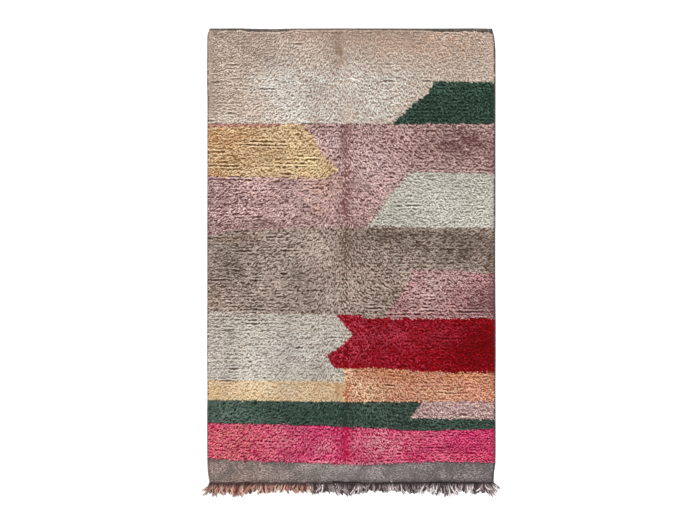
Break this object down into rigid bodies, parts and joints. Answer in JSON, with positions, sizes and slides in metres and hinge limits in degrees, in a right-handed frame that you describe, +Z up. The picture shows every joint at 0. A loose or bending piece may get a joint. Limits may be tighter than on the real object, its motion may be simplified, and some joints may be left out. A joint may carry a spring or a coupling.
{
  "type": "azilal rug",
  "caption": "Flat rectangular hand-knotted wool pile rug with colour bands and slant-ended blocks, a flat-woven end and a short fringe.",
  "frame": {"origin": "middle of the whole outline, fringe included, on the floor under the rug", "axes": "+X across the rug, +Y along it towards the plain top end, away from the fringe, +Z up, the pile side"},
  "size_m": [1.57, 2.4404, 0.0196],
  "materials": {
    "rug_wool": "hand-spun wool pile in bands of beige, ochre, dusty pink, taupe, off-white, red, peach, dark green and hot pink, with a grey flat-woven end",
    "selvedge_wool": "dark grey and white wool bound round the outer warps",
    "fringe_wool": "undyed brown, grey and white warp ends, twisted"
  },
  "bodies": {
    "root": {"woven_rug": "rug_wool", "selvedge_left": "selvedge_wool", "selvedge_right": "selvedge_wool", "fringe": "fringe_wool"}
  },
  "joints": []
}
